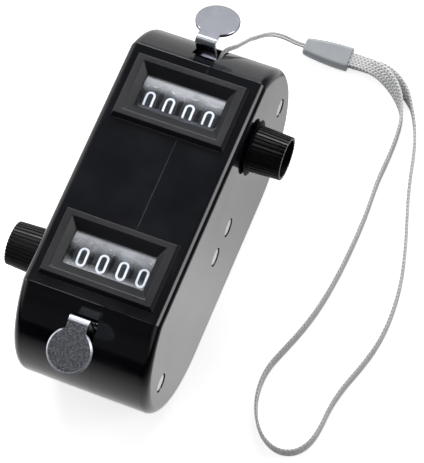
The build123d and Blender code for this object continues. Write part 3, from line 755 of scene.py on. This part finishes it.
def dressedCopy(node, name, edge=0.0, values=dressValues):
    source = nodes[node]
    isLever = node.startswith("thumb_lever")
    flatAngle = values["leverDissolveAngle" if isLever else "dissolveAngle"]
    edgeAngle = values["edgeAngle"]
    piece = bpy.data.objects.new(name, source.data.copy())
    bpy.context.scene.collection.objects.link(piece)
    onlyActive(piece)
    bpy.ops.object.mode_set(mode="EDIT")
    bpy.ops.mesh.select_all(action="SELECT")
    bpy.ops.mesh.remove_doubles(threshold=values["weld"] * mm)
    bpy.ops.mesh.dissolve_limited(angle_limit=math.radians(flatAngle))
    bpy.ops.mesh.select_all(action="DESELECT")
    bpy.ops.object.mode_set(mode="OBJECT")
    if isLever:
        chamferPad(piece, node.split("_")[-1], padValues)
    if edge:
        applyModifier(
            piece, "BEVEL", width=edge * mm, segments=values["edgeSteps"], limit_method="ANGLE",
            angle_limit=math.radians(edgeAngle), use_clamp_overlap=True,
        )
    smoothed(piece, edgeAngle)
    applyModifier(piece, "WEIGHTED_NORMAL", keep_sharp=True, weight=values["normalWeight"])
    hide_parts(node)
    return piece


skins = [
    # node, name, body, material, slot, width of the softened edge
    ("left_case", "leftCaseSkin", "housing", "casePlastic", "case_plastic", 0.1),
    ("right_case", "rightCaseSkin", "housing", "casePlastic", "case_plastic", 0.1),
    ("case_rivets", "rivetHeads", "housing", "rivetSteel", "rivet_steel", 0.0),
    ("strap_sleeve", "cordSleeve", "housing", "sleevePlastic", "sleeve_plastic", 0.25),
]
leverMetals = {"upper": "leverSteel", "lower": "wornLeverSteel"}
for half in facings:
    skins += [
        ("bezel_" + half, half + "WindowFrame", "housing", "bezelPlastic", "bezel_plastic", 0.15),
        ("thumb_lever_" + half, half + "ThumbLever", "lever_" + half, leverMetals[half], "lever_steel"),
        ("reset_knob_" + half, half + "ResetKnob", "reset_" + half, "knobPlastic", "knob_plastic", 0.06),
    ]
    for place in wheelPlaces:
        drum = (place + "_wheel_" + half, half + place.capitalize() + "Drum", place + "_" + half)
        skins.append((*drum, "wheelPlastic", "wheel_plastic", 0.12))
for node, name, body, material, slotName, *edge in skins:
    finish(dressedCopy(node, name, *edge), body, materials[material])

# inner pieces keep their CAD shape and get their metal
innerFinishes = {
    "chassis": "sheetSteel", "feed_pawl": "sheetSteel",
    "wheel_shaft": "pinSteel", "lever_pin": "pinSteel", "pawl_pin": "pinSteel",
    "shaft_clip": "springSteel", "detent_comb": "springSteel", "return_spring": "springSteel",
}
innerNodes = {node + "_" + half: metal for half in facings for node, metal in innerFinishes.items()}
for node, metal in {**innerNodes, "strap_pin": "pinSteel"}.items():
    mesh = nodes[node].data
    mesh.materials.clear()
    mesh.materials.append(materials[metal])


# clear pane with a slightly domed face inside the aperture, flat under the frame's lip
paneValues = {
    "halfLength": 11.2,
    "halfWidth": 5.15,
    "domeHalfLength": 10.42,
    "domeHalfWidth": 4.4,
    "domeRadius": 30.0,
    "domeEdge": 0.02,
    "bottom": 47.34,
    "top": 48.34,
    "rows": 28,
    "smoothAngle": 20,
}


def makePane(half, values):
    facing = facings[half]
    domeX, domeY = values["domeHalfLength"], values["domeHalfWidth"]
    radius = values["domeRadius"]
    edgeX = [-values["halfLength"], -domeX - values["domeEdge"], -domeX]
    stationsX = edgeX + [-x for x in reversed(edgeX)]
    domeRows = [domeY * (2 * i / values["rows"] - 1) for i in range(values["rows"] + 1)]
    stationsY = [-values["halfWidth"], *domeRows, values["halfWidth"]]
    points, faces = [], []
    for level in ("top", "bottom"):
        for x in stationsX:
            for y in stationsY:
                rise = 0.0
                if level == "top" and abs(x) <= domeX and abs(y) < domeY:
                    rise = math.sqrt(radius ** 2 - y ** 2) - math.sqrt(radius ** 2 - domeY ** 2)
                points.append(Vector((x, facing * counterOffset + y, values[level] + rise)) * mm)
    rows, columns = len(stationsY), len(stationsX)
    under = rows * columns
    for i in range(columns - 1):
        for j in range(rows - 1):
            corner = i * rows + j
            faces.append((corner, corner + rows, corner + rows + 1, corner + 1))
            faces.append((under + corner, under + corner + 1, under + corner + rows + 1, under + corner + rows))
    for i in range(columns - 1):
        for j in (0, rows - 1):
            a, b = i * rows + j, (i + 1) * rows + j
            faces.append((a, b, under + b, under + a))
    for j in range(rows - 1):
        for i in (0, columns - 1):
            a, b = i * rows + j, i * rows + j + 1
            faces.append((a, b, under + b, under + a))
    piece = meshPiece(half + "Pane", points, faces)
    outward(piece)
    smoothed(piece, values["smoothAngle"])
    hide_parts("lens_" + half)
    return finish(piece, "housing", materials[half + "Pane"])


for half in facings:
    makePane(half, paneValues)

# narrow mask under the upper pane's near edge, which covers the feet of the numerals
maskStrip = {"low": (-10.6, 17.3, 47.0), "high": (10.6, 19.0, 47.3)}


def makeBlock(name, low, high):
    bpy.ops.mesh.primitive_cube_add(size=1)
    piece = bpy.context.object
    piece.name = name
    for vertex in piece.data.vertices:
        vertex.co = Vector([(low[i] + (high[i] - low[i]) * (vertex.co[i] + 0.5)) * mm for i in range(3)])
    return piece


finish(makeBlock("upperWindowMask", **maskStrip), "housing", materials["bezelPlastic"])

# fine raised parting line of the case halves between the window frames
seamLine = {
    "place": 3.1,
    "height": 49.0,
    "span": (-12.0, 12.6),
    "radius": 0.13,
    # share of the radius at its ends, and how far along the swelling starts
    "leanShare": 0.55,
    "swellStart": 0.15,
    "steps": 60,
    "sides": 8,
}


def makeSeam(values):
    rings = []
    low, high = values["span"]
    for step in range(values["steps"] + 1):
        share = step / values["steps"]
        swell = math.sin(math.pi * min(1.0, values["swellStart"] + share))
        radius = values["radius"] * (values["leanShare"] + (1 - values["leanShare"]) * swell)
        ring = []
        for side in range(values["sides"]):
            angle = 2 * math.pi * side / values["sides"]
            ring.append(Vector((
                values["place"] + radius * math.cos(angle),
                low + (high - low) * share,
                values["height"] + radius * math.sin(angle),
            )) * mm)
        rings.append(ring)
    places = list(range(values["sides"] + 1))
    piece = ringSkin("partingLine", rings, places, [step * mm for step in range(len(rings))])
    return finish(piece, "housing", materials["casePlastic"])


makeSeam(seamLine)
print("panes fitted")


# white numerals: strokes drawn flat, then laid round the drum
def arc(centre, radius, start, end, steps=10):
    points = []
    for i in range(steps + 1):
        angle = math.radians(start + (end - start) * i / steps)
        points.append((centre[0] + radius[0] * math.cos(angle), centre[1] + radius[1] * math.sin(angle)))
    return points


def ellipse(centre, radius, steps=20):
    return arc(centre, radius, 0, 360, steps)[:-1]


numeralValues = {
    "halfWidth": 0.98,
    "halfHeight": 2.2,
    "stroke": 0.56,
    # smallest cosine of the half turn in a stroke's corner
    "mitreLimit": 0.5,
    "spacing": 0.4,
    "drumRadius": 10.2,
    "axleHeight": 36.35,
    "digitTurn": 36,
    "digitPitch": 5.2,
    "drumWidth": 4.2,
    "wheelGap": 0.2,
    "paintHeight": 0.03,
    "shift": {"upper": 0.05, "lower": 0.4},
    "phase": {"upper": 6.2, "lower": -4.8},
}


def numeralStrokes(values):
    w = values["halfWidth"]
    h = values["halfHeight"]
    mid = h - w
    zero = arc((0, mid), (w, w), 0, 180) + arc((0, -mid), (w, w), 180, 360)
    two = arc((0, mid), (w, w), 170, -35) + [(-w, -h), (w, -h)]
    upperThree = arc((-0.1 * w, 0.5 * h), (w, 0.5 * h), 150, -85)
    lowerThree = arc((-0.1 * w, -0.5 * h), (1.1 * w, 0.5 * h), 85, -150)
    topFive = [(0.9 * w, h), (-0.8 * w, h), (-0.9 * w, 0.15 * h)]
    bowlFive = arc((0, -0.42 * h), (w, 0.58 * h), 115, -150)
    loopSix = ellipse((0, -mid), (w, w), 24)
    stemSix = arc((w, -mid), (2 * w, 2 * h - w), 180, 115, 8)
    upperEight = ellipse((0, 0.52 * h), (0.85 * w, 0.48 * h))
    lowerEight = ellipse((0, -0.46 * h), (w, 0.54 * h))
    # each digit's strokes, and whether they close
    return [
        [(zero, True)],
        [([(-0.2 * w, h - 0.5 * w), (0.4 * w, h), (0.4 * w, -h)], False)],
        [(two, False)],
        [(upperThree + lowerThree, False)],
        [([(0.5 * w, -h), (0.5 * w, h), (-w, -0.4 * h), (w, -0.4 * h)], False)],
        [(topFive + bowlFive, False)],
        [(loopSix, True), (stemSix, False)],
        [([(-w, h), (w, h), (-0.3 * w, -h)], False)],
        [(upperEight, True), (lowerEight, True)],
        [([(-x, -y) for x, y in loopSix], True), ([(-x, -y) for x, y in stemSix], False)],
    ]


# points along a stroke close enough to follow the drum
def spacedStroke(points, closed, spacing):
    ends = points[1:] + points[:1] if closed else points[1:]
    spaced = []
    for before, after in zip(points, ends):
        steps = max(1, math.ceil(math.dist(before, after) / spacing))
        for i in range(steps):
            share = i / steps
            spaced.append((before[0] + (after[0] - before[0]) * share, before[1] + (after[1] - before[1]) * share))
    return spaced if closed else spaced + [points[-1]]


def strokeRibbon(points, closed, values):
    count = len(points)
    left, right = [], []
    for i, here in enumerate(points):
        before = points[(i - 1) % count] if closed or i else here
        after = points[(i + 1) % count] if closed or i < count - 1 else here
        first = Vector(here) - Vector(before) if before != here else Vector(after) - Vector(here)
        second = Vector(after) - Vector(here) if after != here else first
        first, second = first.normalized(), second.normalized()
        along = (first + second).normalized()
        side = Vector((-along.y, along.x))
        reach = values["stroke"] / 2 / max(values["mitreLimit"], side.dot(Vector((-second.y, second.x))))
        left.append(Vector(here) + side * reach)
        right.append(Vector(here) - side * reach)
    faces = []
    spans = count if closed else count - 1
    for i in range(spans):
        j = (i + 1) % count
        faces.append((i, count + i, count + j, j))
    return left + right, faces


def makeNumerals(half, index, place, values):
    facing = facings[half]
    pack = values["digitPitch"] * len(wheelPlaces)
    centre = -pack / 2 + index * values["digitPitch"] + values["wheelGap"] / 2 + values["drumWidth"] / 2
    radius = values["drumRadius"]
    points, faces = [], []
    for digit, strokes in enumerate(numeralStrokes(values)):
        base = math.radians(values["phase"][half] + values["digitTurn"] * digit)
        for line, closed in strokes:
            flat, quads = strokeRibbon(spacedStroke(line, closed, values["spacing"]), closed, values)
            first = len(points)
            for lift in (values["paintHeight"], -values["paintHeight"]):
                for p in flat:
                    angle = base + p.y / radius
                    reach = radius + lift
                    points.append(Vector((
                        facing * (centre - p.x) + values["shift"][half],
                        facing * (counterOffset - reach * math.sin(angle)),
                        values["axleHeight"] + reach * math.cos(angle),
                    )) * mm)
            count = len(flat)
            for quad in quads:
                faces.append(tuple(first + i for i in quad))
                faces.append(tuple(first + count + i for i in reversed(quad)))
            edges = [edge for quad in quads for edge in zip(quad, quad[1:] + quad[:1])]
            known = set(edges)
            for a, b in edges:
                if (b, a) not in known:
                    faces.append((first + b, first + a, first + count + a, first + count + b))
    piece = meshPiece(half + place.capitalize() + "Numerals", points, faces)
    outward(piece)
    return finish(piece, place + "_" + half, materials["numeralPaint"])


for half in facings:
    for index, place in enumerate(wheelPlaces):
        makeNumerals(half, index, place, numeralValues)
print("numerals laid on the drums")


# floor, light and world, in metres
studio = {
    "floorSize": 6.0,
    "floorColour": 0.86,
    "floorRoughness": 0.9,
    "floorGlow": 0.7,
    "lampTarget": (0, 0, 0.03),
    "lamps": [
        # name, place, size, power
        ("backSoftbox", (-0.27, 0.98, 0.82), (1.5, 0.45), 17.0),
        ("topSoftbox", (-0.3, -0.08, 1.3), (0.6, 0.3), 2.0),
        ("leftFill", (-1.1, -0.2, 0.45), (0.5, 0.4), 2.5),
        ("rightFill", (1.08, 0.43, 0.68), (0.4, 0.75), 3.3),
    ],
    # painted shade in reflections: how much of the floor's brightness shows in reflections, from in front of the
    # counter to behind it
    "alongRange": (-0.2, 0.2),
    "alongShares": [
        (-0.17, 0.0), (-0.11, 0.2), (-0.06, 0.5), (-0.03, 0.92), (-0.01, 0.96), (0.01, 0.74), (0.05, 0.52),
        (0.11, 0.37),
    ],
    # and how that painted shade deepens to the right
    "asideRange": (0.0, 0.2),
    "asideShares": [(0.028, 1.0), (0.038, 0.85), (0.05, 0.5), (0.075, 0.14), (0.12, 0.05)],
    # sky: axis of the view, its range, and the share at each end of it
    "sky": [("Z", 0.3, 0.62, 0.85, 0.1), ("Y", -0.85, -0.5, 0.1, 1.0), ("X", 0.75, 0.93, 1.0, 0.1)],
}


def makeFloor(values):
    bpy.ops.mesh.primitive_plane_add(size=values["floorSize"])
    floor = bpy.context.object
    floor.name = "studioFloor"
    material, tree, shader = newMaterial("paleFloor", (values["floorColour"],) * 3, values["floorRoughness"])
    shader.inputs["Specular IOR Level"].default_value = 0.0
    rays = tree.nodes.new("ShaderNodeLightPath").outputs
    seen = mathsOn(tree, "MAXIMUM", rays["Is Camera Ray"], rays["Is Glossy Ray"])
    seen = mathsOn(tree, "MAXIMUM", seen, rays["Is Transmission Ray"])
    glow = tree.nodes.new("ShaderNodeEmission")
    glow.inputs["Color"].default_value = (1, 1, 1, 1)
    tree.links.new(mathsOn(tree, "MULTIPLY", seen, values["floorGlow"]), glow.inputs["Strength"])
    lit = tree.nodes.new("ShaderNodeAddShader")
    tree.links.new(shader.outputs["BSDF"], lit.inputs[0])
    tree.links.new(glow.outputs["Emission"], lit.inputs[1])
    # painted shade: seen in reflections, the floor is darkened by place round the counter
    split = splitOn(tree, placeOn(tree))
    shares = []
    for axis, way in (("Y", "along"), ("X", "aside")):
        low, high = values[way + "Range"]
        shares.append(profileOn(tree, rangeOn(tree, split[axis], low, high), low, high, values[way + "Shares"]))
    paintedReflectionShade = mathsOn(tree, "SUBTRACT", 1.0, mathsOn(tree, "MULTIPLY", *shares))
    dark = tree.nodes.new("ShaderNodeBsdfDiffuse")
    dark.inputs["Color"].default_value = (0, 0, 0, 1)
    share = mathsOn(tree, "MULTIPLY", rays["Is Glossy Ray"], paintedReflectionShade)
    showMix(tree, share, lit.outputs["Shader"], dark.outputs["BSDF"])
    floor.data.materials.append(material)


def makeLamps(values):
    target = Vector(values["lampTarget"])
    for name, place, size, power in values["lamps"]:
        bpy.ops.object.light_add(type="AREA", location=place)
        lamp = bpy.context.object
        lamp.name = name
        lamp.data.shape = "RECTANGLE"
        lamp.data.size, lamp.data.size_y = size
        lamp.data.energy = power
        lamp.rotation_euler = (target - Vector(place)).to_track_quat("-Z", "Y").to_euler()


def makeWorld(values):
    world = bpy.data.worlds.new("studioWorld")
    bpy.context.scene.world = world
    world.use_nodes = True
    tree = world.node_tree
    split = splitOn(tree, placeOn(tree, "Generated"))
    strength = 1.0
    for axis, low, high, first, last in values["sky"]:
        strength = mathsOn(tree, "MULTIPLY", strength, rangeOn(tree, split[axis], low, high, first, last))
    background = tree.nodes["Background"]
    background.inputs["Color"].default_value = (1, 1, 1, 1)
    tree.links.new(strength, background.inputs["Strength"])


makeFloor(studio)
makeLamps(studio)
makeWorld(studio)
bpy.context.scene.view_settings.view_transform = "Standard"
print("studio set")
